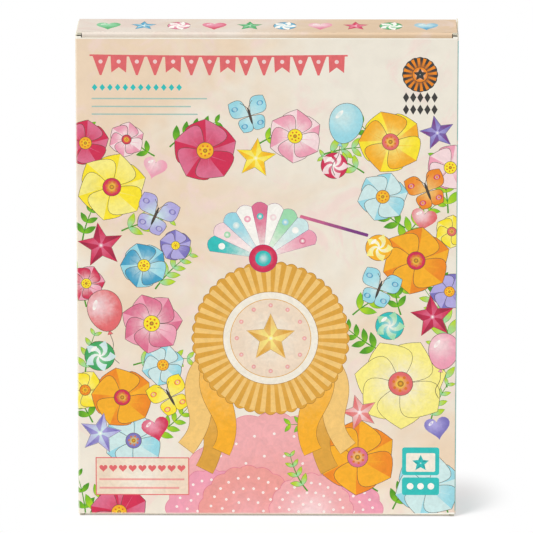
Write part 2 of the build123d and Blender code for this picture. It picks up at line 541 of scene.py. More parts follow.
# %% motifs on the front
for maker, look, x, z, turn in (
    (pinwheel, (31, 5, "crimson", "crimson", "rose", "amber"), -80, 2, 90),
    (pinwheel, (32, 6, "sky", "ice", "ice", "violet"), -72, 42, 20),
    (pinwheel, (25, 5, "crimson", "crimson", "rose", "amber"), -97, 206, 6),
    (pinwheel, (19, 6, "pale_pink", "white", "pink", "crimson"), -75, 208, 15),
    (pinwheel, (20, 6, "pink", "pale_pink", "crimson", "yellow"), -97, 129, 0),
    (pinwheel, (17, 5, "violet", "lilac", "lilac", "yellow"), -49, 150, 12),
    (pinwheel, (22, 6, "lemon", "lemon", "yellow", "orange"), -98, 70, 0),
    (pinwheel, (23, 6, "sky", "ice", "ice", "amber"), -56, 84, 10),
    (pinwheel, (25, 5, "pink", "pale_pink", "pale_pink", "yellow"), 98, 193, 0),
    (pinwheel, (18, 6, "lemon", "lemon", "yellow", "coral"), 99, 158, 20),
    (pinwheel, (21, 6, "violet", "lilac", "lilac", "amber"), 98, 125, 0),
    (pinwheel, (36, 6, "sky", "ice", "ice", "yellow"), 87, 17, 10),
    (pinwheel, (37, 6, "yellow", "yellow", "lemon", "crimson"), -83, 182, 10),
    (butterfly, (23, "lilac", "ice", "violet"), -60, 166, -24),
    (folded_star, (25, "crimson", "rose", "wine"), -89, 150, 8),
    (pinwheel, (25, 5, "sky", "ice", "blue", "yellow"), -66, 139, 30),
    (balloon, (23, "coral", "pale_pink"), -87, 114, 12),
    (pinwheel, (33, 7, "pink", "pale_pink", "rose", "yellow"), -62, 107, 0),
    (sweet, (16, "green", "mint", "ice"), -90, 89, 0),
    (pinwheel, (33, 5, "orange", "amber", "amber", "crimson"), -78, 66, 24),
    (butterfly, (22, "yellow", "lemon", "orange"), -52, 66, 28),
    (paper_heart, (15, "crimson", "pink"), -60, 49, 14),
    (folded_star, (23, "lilac", "ice", "violet"), -90, 46, -10),
    (pinwheel, (34, 5, "crimson", "crimson", "rose", "amber"), -33, 202, 12),
    (paper_heart, (13, "pink", "pale_pink"), -60, 193, -16),
    (butterfly, (21, "sky", "ice", "blue"), -9, 221, 16),
    (folded_star, (22, "yellow", "lemon", "amber"), -6, 198, -6),
    (pinwheel, (29, 6, "pale_pink", "white", "pink", "yellow"), 15, 210, 20),
    (sweet, (14, "crimson", "pink", "pale_pink"), 36, 194, 0),
    (balloon, (22, "sky", "ice"), 42, 217, -14),
    (pinwheel, (34, 5, "yellow", "lemon", "amber", "coral"), 66, 207, 30),
    (folded_star, (19, "violet", "lilac", "plum"), 91, 212, 12),
    (butterfly, (22, "orange", "honey", "crimson"), 86, 180, 20),
    (pinwheel, (27, 6, "sky", "ice", "ice", "amber"), 62, 177, 5),
    (paper_heart, (14, "coral", "pale_pink"), 84, 165, -12),
    (pinwheel, (37, 6, "orange", "amber", "amber", "crimson"), 80, 142, 14),
    (sweet, (14, "amber", "yellow", "lemon"), 60, 149, 0),
    (butterfly, (22, "sky", "ice", "blue"), 60, 126, -20),
    (folded_star, (24, "crimson", "rose", "wine"), 89, 111, 6),
    (sweet, (15, "teal", "ice", "mint"), 66, 106, 0),
    (pinwheel, (50, 7, "lemon", "cream", "lemon", "coral"), 72, 74, 8),
    (balloon, (20, "pink", "pale_pink"), 95, 92, -8),
    (paper_heart, (14, "violet", "lilac"), 92, 50, 10),
    (pinwheel, (42, 6, "orange", "amber", "amber", "rose"), 49, 33, 22),
    (folded_star, (20, "salmon", "pale_pink", "coral"), 50, 58, 16),
):
    front_art += set_down(maker(*look), x, z, turn)

print(len(front_art), "patches of motifs on the front")

# %% [markdown]
# The middle of the panel holds one large calm thing for the eye to rest on: a golden pleated
# rosette with a cream eye, on pink hills, under a small paper fan and a two-tone straw. The
# ground round it stays bare, so that the ring of motifs reads as a frame. The hills are laid
# first: half discs with a scalloped rim, and rings of white dots that follow the rim.

# %% dotted hills
scallops = 9
scallop_rise = 0.05
dot_size = 1.5
hill_art = []
for x, foot, radius, ink, deep in (
    (4, 6, 50, "rosy", "salmon"),
    (-30, 1, 24, "pink", "rosy"),
    (40, 1, 22, "pink", "rosy"),
    (-10, 1, 26, "salmon", "rosy"),
    (24, 1, 22, "rosy", "pale_pink"),
):
    t = np.linspace(0, np.pi, 10 * scallops + 1)
    edge = radius * (1 + scallop_rise * np.abs(np.sin(t * scallops)))
    hill_art += inked(around(edge, t) + (x, foot), ink, deep, (x, foot), "rose")
    for ring in (0.32, 0.56, 0.80):
        for turn in np.linspace(0.22, np.pi - 0.22, int(round(12 * ring)) + 1):
            dot = oval(dot_size, count=10) + (around(ring * radius, turn) + (x, foot))
            hill_art.append(patch(dot, "white", "pale_pink"))

print(len(hill_art), "patches of hills")

# %% [markdown]
# The rosette has three ribbons on each side, which hang from behind it. A ribbon is a band
# whose path swings to and fro on its way down and whose width swells and shrinks, as a real
# ribbon does where it turns. Over the pleats lie the eye, a ring of beads and a star.

# %% rosette and ribbons
rosette_x, rosette_z = 2, 99
rosette_size, eye_size, field_size, pleats = 82, 51, 43, 44
ribbon_root_x, ribbon_root_z = 21, 98
beads, bead_size, bead_ring = 12, 2.3, 18.2

centre_art = []
for side in (-1, 1):
    for spread, length, ink in ((17, 72, "gold"), (27, 60, "honey"), (8, 62, "amber")):
        t = np.linspace(0, 1, 24)
        tail = np.stack((side * (spread * t + 6 * np.sin(5.5 * t)), -length * t), axis=1)
        ribbon = inked(band(tail, 12 - 2.5 * np.cos(7 * t)), ink, "honey", (0, 0), "ochre")
        centre_art += set_down(ribbon, side * ribbon_root_x, ribbon_root_z)
for parts in (
    rosette(rosette_size, eye_size, pleats, "honey", "gold", "cream"),
    inked(oval(field_size, count=48), "peach", "cream", (0, 0), "gold", 0.35),
    folded_star(27, "honey", "lemon", "gold", "ochre"),
):
    centre_art += set_down(parts, rosette_x, rosette_z)
for k in range(beads):
    bead = patch(oval(bead_size, count=14), "salmon", "pale_pink")
    x, z = around(bead_ring, k * 2 * np.pi / beads) + (rosette_x, rosette_z)
    centre_art += set_down([bead], x, z)

print(len(centre_art), "patches of rosette and ribbons")

# %% [markdown]
# The fan is nine blades of card on a round rivet, and every blade has its own ink and a bead
# near its rounded end. The straw is one thin bar that runs from one ink to another along its
# length, which the heart-to-rim blend gives when the heart is put at one end.

# %% fan and straw
fan_inks = ("pink", "ice", "mint", "white", "rose", "white", "sky", "pale_pink", "teal")
fan_radius = 29
fan_start, fan_sweep = 12, 156

fan_art = []
for k, ink in enumerate(fan_inks):
    a = np.radians(fan_start + fan_sweep * np.linspace(k, k + 1, 6) / len(fan_inks))
    bulge = fan_radius * (1 + 0.07 * np.sin(np.linspace(0, np.pi, 6)))
    blade = np.concatenate((around(bulge, a), [(0, 0)]))
    fan_art += inked(blade, ink, "white", (0, 0), "plum", 0.18)
    bead = oval(3.6, count=16) + around(fan_radius * 0.80, a.mean())
    fan_art.append(patch(bead, fan_inks[(k + 4) % len(fan_inks)], "white"))
fan_art += inked(oval(15), "crimson", "pink", (0, 0), "plum", 0.2)
fan_art += inked(oval(8.5), "teal", "ice", (0, 0), "plum", 0.2)
fan_art = set_down(fan_art, -2, 143, 4)

straw_half, straw_radius = 19, 0.9
straw = rectangle(-straw_half, -straw_radius, straw_half, straw_radius, 0.5)
straw_art = set_down([patch(straw, "plum", "rose", (-straw_half, 0))], 36, 161, -16)

print(len(fan_art + straw_art), "patches of fan and straw")

# %% [markdown]
# Above and below the ring the print is calmer: plain ornament in one or two inks. Along the
# top hangs a string of bunting. Flags of two cuts take turns, a plain point and a
# swallowtail, and all hang from one string that sags by half a sine wave.

# %% bunting
bunting_left, bunting_right = -93.5, 42.0
bunting_top, bunting_height, bunting_sag = 253.8, 10.8, 0.5
tail_cut = 3.0
flags = 14
bunting_run = bunting_right - bunting_left
pitch = bunting_run / flags

label_art = []
for k in range(flags):
    left = bunting_left + k * pitch
    sag = bunting_sag * np.sin(np.pi * (k + 0.5) / flags)
    low = bunting_top - bunting_height + (1.4 if k % 3 == 1 else 0.0)
    corners = [(left + 0.5, bunting_top - sag), (left + pitch - 0.5, bunting_top - sag)]
    if k % 3 == 1:
        corners += [(left + pitch - 0.9, low), (left + pitch / 2, low + tail_cut), (left + 0.9, low)]
    else:
        corners += [(left + pitch / 2 + 0.5, low), (left + pitch / 2 - 0.5, low)]
    label_art.append(patch(corners, "coral"))
    label_art.append(patch(oval(2.2, count=14) + (left + pitch / 2, bunting_top - 3.4), "blush"))
string_x = np.linspace(bunting_left - 1, bunting_right + 1, 30)
string_z = bunting_top - bunting_sag * np.sin(np.pi * (string_x - bunting_left) / bunting_run)
label_art.append(patch(band(np.stack((string_x, string_z), axis=1), 0.9), "coral"))

print(f"{flags} flags, {pitch:.2f} mm apart")

# %% [markdown]
# Below the bunting come a row of teal diamonds and three fine rules. In the far corner a
# small orange rosette stands over two rows of charcoal lozenges. An oval with only four
# points is a diamond, so no new outline is needed for either. Two short functions, one for
# a row of equal shapes and one for a rule, serve here and again at the foot.

# %% diamonds, rules and lozenges
def row_of(outline, ink, count, left, pitch, z):
    """One shape again and again: number k stands at the left end plus k times the pitch."""
    return [patch(outline + (left + pitch * k, z), ink) for k in range(count)]


def rule(left, right, z, weight):
    """A straight bar, half of its weight above a height and half below."""
    return rectangle(left, z - weight / 2, right, z + weight / 2)


diamond = oval(3.0, 3.8, 4)
label_art += row_of(diamond, "teal", count=12, left=bunting_left + 1.6, pitch=4.1, z=236.4)
for z, right in ((230.3, -32.0), (226.0, -40.6), (221.8, -37.0)):
    label_art.append(patch(rule(bunting_left, right, z, 0.7), "grey_green"))

corner_x, corner_z = 81.6, 243.6
for parts in (
    rosette(18, 8, 16, "orange", "charcoal", "orange", "charcoal"),
    folded_star(7, "charcoal", "charcoal", "charcoal", "charcoal"),
):
    label_art += set_down(parts, corner_x, corner_z)
for z in (231.2, 224.6):
    label_art += row_of(oval(3.3, 5.6, 4), "charcoal", count=5, left=74.2, pitch=3.8, z=z)

print(len(label_art), "patches of ornament in the upper part")

# %% [markdown]
# At the foot stand two teal labels on the right, one with a cream window and a star, one with
# three white dots, and on the left a framed plate of small hearts over two rules. The plate's
# frame is a larger box with a smaller one on top, as a frame is when it is cut from card.

# %% labels and plate
label_left, label_right = 73.0, 93.1
label_middle = (label_left + label_right) / 2
upper_label, lower_label, label_window = (23.1, 38.6), (12.0, 21.8), (25.0, 35.4)
window_inset = 2.2
for low, high in (upper_label, lower_label):
    label_art.append(patch(rectangle(label_left, low, label_right, high, 1.4), "teal"))
low, high = label_window
window = rectangle(label_left + window_inset, low, label_right - window_inset, high, 0.8)
label_art.append(patch(window, "cream"))
label_art += set_down(folded_star(9, "teal", "teal", "sea", "teal"), label_middle, 29.8)
dot_pitch = 5.6
first_dot = label_middle - dot_pitch
label_art += row_of(oval(3.6, count=20), "white", count=3, left=first_dot, pitch=dot_pitch, z=16.9)

plate_left, plate_right, plate_low, plate_high = -92.6, -42.0, 11.6, 32.7
plate_line = 0.55
label_art.append(patch(rectangle(plate_left, plate_low, plate_right, plate_high), "coral"))
field = rectangle(
    plate_left + plate_line,
    plate_low + plate_line,
    plate_right - plate_line,
    plate_high - plate_line,
)
label_art.append(patch(field, "peach", "cream"))
label_art += row_of(heart_shape(4.4), "coral", count=9, left=-88.4, pitch=5.27, z=26.7)
for z, right in ((20.4, -44.6), (15.6, -47.4)):
    label_art.append(patch(rule(plate_left + 2.0, right, z, 1.0), "salmon"))

front_art = hill_art + front_art + centre_art + fan_art + straw_art + label_art
print(len(front_art), "patches on the front in all")

# %% [markdown]
# To print a design on the carton, every patch is cut against every other, so that each small
# triangle of the skin has one ink only. A constrained Delaunay triangulation does this in
# one call: it takes all the outlines and says which of them each triangle lies in, and the
# topmost one wins. The flat result is wrapped round the board later by a formula, and it can
# only bend where it has points, so every crease gets its own fold lines across the sheet.

# %% cut the sheet
snap = 1e-4


def fold_lines(places, low, high):
    """Straight cuts across the sheet at the given places, each as a pair of end points."""
    return [((place, low), (place, high)) for place in places]


def cut_sheet(domain, folds, patches):
    """The sheet as flat triangles. Returns its points, its triangles and, for each, the
    number of the topmost patch, 0 being the bare ground."""
    outlines = [domain] + [p.outline for p in patches]
    points, faces, edges = [], [], []
    for outline in outlines:
        x, y = outline.T
        area = np.sum(x * np.roll(y, -1) - np.roll(x, -1) * y)
        ring = outline if area > 0 else outline[::-1]
        faces.append(list(range(len(points), len(points) + len(ring))))
        points.extend(map(Vector, ring.tolist()))
    for start, end in folds:
        edges.append((len(points), len(points) + 1))
        points += [Vector(start), Vector(end)]
    flat, _, triangles, _, _, inside = delaunay_2d_cdt(points, edges, faces, 0, snap, True)
    kept = [(t, max(ids)) for t, ids in zip(triangles, inside) if 0 in ids]
    corners = np.array([t for t, _ in kept])
    tops = np.array([top for _, top in kept])
    used, corners = np.unique(corners, return_inverse=True)
    return np.array([p[:2] for p in flat])[used], corners.reshape(-1, 3), tops


trial = cut_sheet(rectangle(-2, -2, 2, 2), [], [patch(oval(2, count=8), "rose")])
print(f"a dot on a square sheet: {len(trial[1])} triangles, {np.sum(trial[2] == 1)} of them inked")

# %% [markdown]
# A film of ink is the cut sheet, wrapped into place and given a thickness, so that it is a
# closed body that can be exported like any other piece. Real ink is a few thousandths of a
# millimetre thick. Here it lies 0.03 mm off the board and is 0.02 mm thick, because surfaces
# that lie any closer flicker through each other. Each corner of each triangle carries its
# patch's two inks and its place in the patch, and the material does the rest.

# %% make a film
film_lift = 0.03
film_thickness = 0.02
FILM = {}


def print_film(name, body, domain, folds, patches, wrap):
    """A thin closed skin of ink: the cut sheet, wrapped into place and given a thickness.
    Every corner carries its patch's rim and heart inks and its place in the patch."""
    flat, triangles, tops = cut_sheet(np.asarray(domain, float), folds, patches)
    mesh = bpy.data.meshes.new(name)
    mesh.from_pydata((wrap(flat) * MM).tolist(), [], triangles.tolist())

    bare = np.zeros((1, 4))
    rim = np.concatenate((bare, [(*p.rim, 1) for p in patches])) if patches else bare
    heart = np.concatenate((bare, [(*p.heart, 1) for p in patches])) if patches else bare
    middle = np.array([(0, 0)] + [p.middle for p in patches], float)
    reach = np.array([1.0] + [p.reach for p in patches])
    per_corner = np.repeat(tops, 3)
    at = flat[triangles.ravel()]
    for label, values in (("Rim", rim), ("Heart", heart)):
        layer = mesh.color_attributes.new(label, "FLOAT_COLOR", "CORNER")
        layer.data.foreach_set("color", values[per_corner].astype(np.float32).ravel())
    low, high = flat.min(axis=0), flat.max(axis=0)
    chart = mesh.uv_layers.new(name="OFBake")
    chart.data.foreach_set("uv", ((at - low) / (high - low)).astype(np.float32).ravel())
    motif = mesh.uv_layers.new(name="Motif")
    local = (at - middle[per_corner]) / reach[per_corner, None]
    motif.data.foreach_set("uv", local.astype(np.float32).ravel())
    mesh.update()

    film = into_scene(name, mesh)
    skin = film.modifiers.new("ink thickness", "SOLIDIFY")
    skin.thickness = film_thickness * MM
    skin.offset = 1.0
    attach(film, body)
    FILM[name] = film
    print(f"{name}: {len(triangles)} triangles, {len(patches)} patches")


print(f"films stand {film_lift + film_thickness:.2f} mm proud of the board")

# %% [markdown]
# A wall is flat between its creases, and each crease is a quarter of a cylinder. The wrap
# takes distance across the sheet and turns it into a place: straight along the wall first,
# and then round the crease's centre, by an angle that is the distance left over, divided by
# the radius. It is worked out for all points of the sheet at once.

# %% wrap a sheet round a wall
def wall_wrap(middle, along, outward, run):
    """Wraps a sheet round one wall. Across the sheet is distance from the wall's middle;
    past either end of its flat run the sheet turns about the crease's centre by
    (distance past the end) / radius."""

    def wrap(flat):
        across, up = flat.T
        on_flat = np.clip(across, -run / 2, run / 2)
        turn = (across - on_flat) / crease_radius
        rise = film_lift * np.cos(turn) - crease_radius * (1 - np.cos(turn))
        slide = on_flat + (crease_radius + film_lift) * np.sin(turn)
        plan = np.array(middle) + slide[:, None] * np.array(along)
        plan = plan + rise[:, None] * np.array(outward)
        return np.column_stack((plan, up))

    return wrap


def print_wall(name, sheet, folds, art, *placing):
    """A film on one wall of the body; its placing is what wall_wrap asks for."""
    print_film(name, "carton", sheet, folds, art, wall_wrap(*placing))


front_middle = wall_wrap((0, -half_depth), (1, 0), (0, -1), 100)(np.array(((0.0, 50.0),)))
print("middle of the front, wrapped:", front_middle[0].round(2))

# %% [markdown]
# The lid bends more than a wall does: over the bead of its crease at the back, round the
# soft roll at its front, and down the tuck flap, whose curve has the hinge line as its
# centre. So its wrap is a chain of four stretches, each measured from where the last one
# ends. The rolled edge has to be right, for it is the line that the eye follows in the
# photograph: light on its crest and darker where it turns down.

# %% wrap a sheet over the lid
def lid_wrap(flat):
    """Wraps a sheet over the lid. Distance runs from the hinge line towards the front: over
    the crease bead behind it, along the panel, round the roll, and down the tuck flap, which
    is curved about the hinge line."""
    x, back = flat.T
    run = -back
    panel = hinge_y - roll_y
    over = run - np.clip(run, 0, panel)
    bead = np.minimum(over, 0) / board
    roll = np.clip(over, 0, roll_length) / (roll_radius + board / 2)
    slip = np.maximum(over - roll_length, 0) / (tuck_radius + board / 2)
    y = hinge_y - np.clip(run, 0, panel)
    y = y - (board + film_lift) * np.sin(bead) - (roll_radius + board / 2 + film_lift) * np.sin(roll)
    z = np.where(over < 0, hinge_z + (board + film_lift) * np.cos(bead), lid_top + film_lift)
    z = np.where(over > 0, roll_z + (roll_radius + board / 2 + film_lift) * np.cos(roll), z)
    tuck = tuck_radius + board / 2 + film_lift
    y = np.where(slip > 0, hinge_y - tuck * np.cos(roll_turn + slip), y)
    z = np.where(slip > 0, hinge_z - tuck * np.sin(roll_turn + slip), z)
    return np.column_stack((x, y, z))


print("hinge line, wrapped:", lid_wrap(np.zeros((1, 2)))[0].round(2))

# %% [markdown]
# Four wall skins. The front one goes round the left corner's crease and stops just past the
# start of the right one, because that is where the photograph changes ink: the side panel's
# teal runs round the corner and shows as a hair line down the front's right edge. The front
# sheet rises at both upper corners, where the board does, and is lower between them, where
# the tuck flap goes in. Bare board shows as a pale line at its upper cut edge, and a slim pale
# wedge runs along its foot on the right, thickening towards the corner.

# %% front wall
skin_inset = 0.02
arc = crease_radius * np.pi / 2
front_run = 2 * (half_width - crease_radius)
ink_change = 0.45
front_left, front_right = -front_run / 2 - arc, front_run / 2 + ink_change
front_low, front_high = foot_drop + skin_inset, lid_top - front_drop - skin_inset
side_low, side_high = side_drop + skin_inset, lid_top - side_drop - skin_inset
shoulder = lid_half - tuck_inset + ear_gap + skin_inset
pale_line = 0.5
wedge_start, wedge_thin, wedge_thick = 70, 0.15, 1.0
creases = np.linspace(0, arc, 9)
front_domain = [
    (front_left, front_low),
    (front_right, front_low),
    (front_right, side_high),
    (shoulder, side_high),
    (shoulder, front_high),
    (-shoulder, front_high),
    (-shoulder, side_high),
    (front_left, side_high),
]
# a pale line at the upper cut edge, and a pale wedge along the foot on the right that thickens
# towards the corner
upper_edge = rectangle(front_left - 1, front_high - pale_line, front_right + 1, side_high + 1)
foot_wedge = (
    (wedge_start, front_low - 1),
    (front_right + 1, front_low - 1),
    (front_right + 1, front_low + wedge_thick),
    (wedge_start, front_low + wedge_thin),
)
pale_edges = [patch(upper_edge, "white"), patch(foot_wedge, "white")]
left_folds = -front_run / 2 - creases[:-1]
right_folds = front_run / 2 + np.linspace(0, ink_change, 4)[:-1]
front_folds = fold_lines((*left_folds, *right_folds), front_low - 1, side_high + 1)

print_wall(
    "front_print",
    front_domain,
    front_folds,
    front_art + pale_edges,
    (0, -half_depth),
    (1, 0),
    (0, -1),
    front_run,
)

# %% [markdown]
# The side walls are teal with small pale stars in staggered rows. Only a hair line of one of
# them is seen in the photograph, so the pattern is a guess, and a quiet one. The teal stops
# short of the cut edges at top and bottom, and a small nick in it shows where the corner was
# knocked. The left wall ends in a raw edge over the glued seam, so its sheet has no crease.

# %% side walls
teal_foot_gap, teal_head_gap = 1.4, 2.2
star_rows, star_foot, star_rise, star_pitch, star_margin = 24, 12, 10.6, 11.0, 2
nick_z, nick_half, nick_depth = 206.6, 1.1, 0.9
side_run = 2 * (half_depth - crease_radius)
side_left, side_right = -side_run / 2 - arc + ink_change + skin_inset, side_run / 2 + arc
teal_low, teal_high = side_low + teal_foot_gap, side_high - teal_head_gap
nick = rectangle(side_left - 1, nick_z - nick_half, side_left + nick_depth, nick_z + nick_half)

star_art = []
for row in range(star_rows):
    for column in range(-1, 2):
        x = column * star_pitch + (star_pitch / 2 if row % 2 else 0)
        z = star_foot + star_rise * row
        if abs(x) < side_run / 2 - star_margin:
            star_art.append(patch(points_of_star(1.9, 0.9, 5) + (x, z), "sky"))
side_art = [
    patch(rectangle(side_left - 1, teal_low, side_right + 1, teal_high), "teal"),
    patch(nick, "peach"),
]
past_run = side_run / 2 + creases[:-1]
print_wall(
    "right_print",
    rectangle(side_left, side_low, side_right, side_high),
    fold_lines((*-past_run, *past_run), side_low - 1, side_high + 1),
    side_art + star_art,
    (half_width, 0),
    (0, 1),
    (1, 0),
    side_run,
)

raw_edge_gap = 0.05
left_start = half_depth - raw_edge_setback
left_run = left_start + half_depth - crease_radius
left_middle = (left_start - (half_depth - crease_radius)) / 2
left_art = [patch(rectangle(-left_run, teal_low, left_run, teal_high), "teal")]
left_art += [p for p in star_art if abs(p.middle[0]) < left_run / 2 - star_margin]
print_wall(
    "left_print",
    rectangle(-left_run / 2 + raw_edge_gap, side_low, left_run / 2 - skin_inset, side_high),
    [],
    left_art,
    (-half_width, left_middle),
    (0, -1),
    (-1, 0),
    left_run,
)

# %% [markdown]
# Nothing is known of the back, so it is plain: a rounded frame, and small tokens in staggered
# rows in the inks of the front. Each row starts three inks further on than the last, so that
# no ink lines up in columns.

# %% back wall
back_left_x = half_width - crease_radius
back_right_x = -half_width + board + crease_radius
back_run = back_left_x - back_right_x
back_low, back_high = back_drop + skin_inset, lid_top - back_drop - skin_inset
frame_inset, frame_line, frame_radius = 9.0, 0.8, 5.0
token_rows, token_columns = 11, 8
token_left, token_across, token_foot, token_up, token_limit = -80.5, 23, 28, 21, 84


def back_panel(inset, radius):
    """A rounded rectangle that keeps the same distance from all four edges of the back."""
    side = back_run / 2 - inset
    return rectangle(-side, back_low + inset, side, back_high - inset, radius)


back_art = [
    patch(back_panel(frame_inset, frame_radius), "coral"),
    patch(back_panel(frame_inset + frame_line, frame_radius - 0.6), "cream"),
]
back_inks = ("coral", "yellow", "teal", "lilac", "leaf", "pink", "sky", "amber")
small_tokens = (points_of_star(2.6, 1.2, 5), oval(3.6, count=18), heart_shape(4.6))
for row in range(token_rows):
    for column in range(token_columns):
        x = token_left + token_across * column + (token_across / 2 if row % 2 else 0)
        z = token_foot + token_up * row
        if abs(x) < token_limit:
            ink = back_inks[(3 * row + column) % len(back_inks)]
            token = small_tokens[(row + column) % len(small_tokens)]
            back_art.append(patch(token + (x, z), ink))
print_wall(
    "back_print",
    rectangle(-back_run / 2, back_low, back_run / 2, back_high),
    [],
    back_art,
    ((back_left_x + back_right_x) / 2, half_depth),
    (-1, 0),
    (0, 1),
    back_run,
)

# %% [markdown]
# The lid's skin runs over the panel, round the roll and three millimetres down the tuck
# flap, where the ink's bleed ends. It is cut out as the board is: open notches at both front
# corners and a lock slit in from each. The short stretches beside the notches stay flat, so
# they are a little skin of their own.

# %% outline of the lid's sheet
lid_slot_line = -(hinge_y - roll_y)
notch_line = -(tuck_radius + board / 2 - notch_setback)
tuck_half = lid_half - tuck_inset
tuck_bleed = 3.0
lid_end = lid_slot_line - roll_length - tuck_bleed
bead_back = board * np.pi / 2 - 0.05
slit_in = tuck_half - slit_length
slit_top, slit_low = lid_slot_line + slit_width / 2, lid_slot_line - slit_width / 2

right_edge = [
    (lid_half - skin_inset, slit_top),
    (slit_in, slit_top),
    (slit_in, slit_low),
    (tuck_half - skin_inset, slit_low),
    (tuck_half - skin_inset, lid_end),
]
left_edge = [(-x, v) for x, v in right_edge[::-1]]
back_edge = [(-lid_half + skin_inset, bead_back), (lid_half - skin_inset, bead_back)]
lid_domain = np.array(back_edge + right_edge + left_edge)

bead_folds = np.linspace(0, board * np.pi / 2, 6)[:-1]
roll_folds = lid_slot_line - np.linspace(0, roll_length, 13)[1:]
bleed_fold = lid_slot_line - roll_length - tuck_bleed / 2
across_folds = (*bead_folds, *roll_folds, bleed_fold)
lid_folds = [((-lid_half - 1, v), (lid_half + 1, v)) for v in across_folds]
lid_folds.append(((-slit_in, lid_slot_line), (slit_in, lid_slot_line)))

print(len(lid_domain), "corners,", len(lid_folds), "fold lines")

# %% [markdown]
# A row of ten tokens runs along the lid: hearts, stars and sweets in turn, in green, blue,
# rose and crimson. Since three shapes and four inks take turns at once, a pair repeats only
# after twelve. The base carries a plain framed field, where a carton has its retail data.

# %% designs of the lid and the base
token_inks = (("green", "mint"), ("blue", "ice"), ("rose", "pale_pink"), ("crimson", "pink"))
tokens = 10
token_pitch = 18.9
token_middle = lid_slot_line / 2 - 0.5
token_stretch = 1.7
lid_art = []
for k in range(tokens):
    rim, heart = token_inks[k % len(token_inks)]
    token = (
        paper_heart(13, rim, heart),
        folded_star(14, rim, heart, rim),
        sweet(12, rim, heart, "white", 5),
    )[k % 3]
    x = token_pitch * (k - (tokens - 1) / 2)
    lid_art += set_down(stretched(token, token_stretch), x, token_middle)


def base_field(half_x, half_y, radius):
    """A rounded box about the middle of the panel, given by half its width and depth."""
    return rectangle(-half_x, token_middle - half_y, half_x, token_middle + half_y, radius)


base_art = [
    patch(base_field(60, 11, 3), "coral"),
    patch(base_field(59.4, 10.4, 2.5), "cream"),
]

print(len(lid_art), "patches on the lid")

# %% [markdown]
# The base closes as the lid does, so it takes the same sheet turned upside down. Half a turn
# about the carton's depth changes the sign of x and of z but mirrors nothing, so the print
# stays the right way round and the faces still point outwards.

# %% both lids
def flat_lid_wrap(flat):
    """The panel's own plane: distance back from the hinge line, at the lid's top."""
    height = np.full(len(flat), lid_top + film_lift)
    return np.column_stack((flat[:, 0], hinge_y + flat[:, 1], height))


def upside_down(wrap):
    """The same wrap for the base: half a turn about the carton's depth, so that x changes
    sign and a height z becomes the lid's height less z."""
    return lambda flat: wrap(flat) * (-1, 1, -1) + (0, 0, lid_top)


def print_lid(name, body, art, panel_wrap, end_wrap):
    """The main skin of one lid and the two small flat ones beside its notches."""
    print_film(name, body, lid_domain, lid_folds, art, panel_wrap)
    for side in (-1, 1):
        left, right = sorted((side * (tuck_half + skin_inset), side * (lid_half - skin_inset)))
        end = rectangle(left, notch_line + skin_inset, right, slit_top)
        print_film(f"{name}_{'left' if side < 0 else 'right'}", body, end, [], [], end_wrap)


print_lid("lid_print", "lid", lid_art, lid_wrap, flat_lid_wrap)
print_lid(
    "base_print",
    "base_lid",
    base_art,
    upside_down(lid_wrap),
    upside_down(flat_lid_wrap),
)

# %% [markdown]
# Materials are graphs of nodes, and written out one by one they take many lines. So a few
# helpers come first: one makes a node and sets its inputs by name, and the others wire up the
# four steps that come back all the time, which are noise, a change of range, a sum and a mix.

# %% node helpers
def new_group(name, inputs, outputs):
    """An empty shader group with named sockets, given as (name, kind, default)."""
    tree = bpy.data.node_groups.new(name, "ShaderNodeTree")
    for label, kind, default in inputs:
        socket = tree.interface.new_socket(label, in_out="INPUT", socket_type=kind)
        socket.default_value = default
    for label, kind in outputs:
        tree.interface.new_socket(label, in_out="OUTPUT", socket_type=kind)
    return tree, tree.nodes.new("NodeGroupInput"), tree.nodes.new("NodeGroupOutput")


def add_node(tree, kind, settings=(), **values):
    """Adds a node, sets its properties and then its unlinked inputs by name."""
    node = tree.nodes.new(kind)
    for key, value in dict(settings).items():
        setattr(node, key, value)
    for key, value in values.items():
        node.inputs[key.replace("_", " ")].default_value = value
    return node


def noise(tree, coordinates, scale, detail=3.0, roughness=0.55, distortion=0.0):
    """Cloudy noise on the given coordinates; scale is in cells for each metre."""
    node = add_node(tree, "ShaderNodeTexNoise", Scale=scale, Detail=detail, Roughness=roughness)
    node.inputs["Distortion"].default_value = distortion
    tree.links.new(coordinates, node.inputs["Vector"])
    return node.outputs["Fac"]


def ranged(tree, value, low, high, to_low=0.0, to_high=1.0, smooth=True):
    """Maps a value from one range to another, with soft ends."""
    curve = "SMOOTHSTEP" if smooth else "LINEAR"
    node = add_node(tree, "ShaderNodeMapRange", {"interpolation_type": curve})
    node.inputs["From Min"].default_value = low
    node.inputs["From Max"].default_value = high
    node.inputs["To Min"].default_value = to_low
    node.inputs["To Max"].default_value = to_high
    tree.links.new(value, node.inputs["Value"])
    return node.outputs["Result"]


def calculate(tree, operation, *operands):
    """One math node; each operand is a socket or a number."""
    node = add_node(tree, "ShaderNodeMath", {"operation": operation})
    for socket, operand in zip(node.inputs, operands):
        if isinstance(operand, (int, float)):
            socket.default_value = operand
        else:
            tree.links.new(operand, socket)
    return node.outputs[0]


def mixed(tree, factor, first, second):
    """One colour mix node; the factor is a socket, and each colour a socket or a value."""
    node = add_node(tree, "ShaderNodeMix", {"data_type": "RGBA"})
    tree.links.new(factor, node.inputs[0])
    for socket, colour in zip(node.inputs[6:8], (first, second)):
        if isinstance(colour, bpy.types.NodeSocket):
            tree.links.new(colour, socket)
        else:
            socket.default_value = (*colour, 1.0)
    return node.outputs[2]


def scaled(tree, colour, factor):
    """One colour times one number, each given as a socket."""
    node = add_node(tree, "ShaderNodeVectorMath", {"operation": "SCALE"})
    tree.links.new(colour, node.inputs[0])
    tree.links.new(factor, node.inputs["Scale"])
    return node.outputs[0]


def place_on_object(tree):
    """The place of a point on its object, in metres, as one vector."""
    return tree.nodes.new("ShaderNodeTexCoord").outputs["Object"]


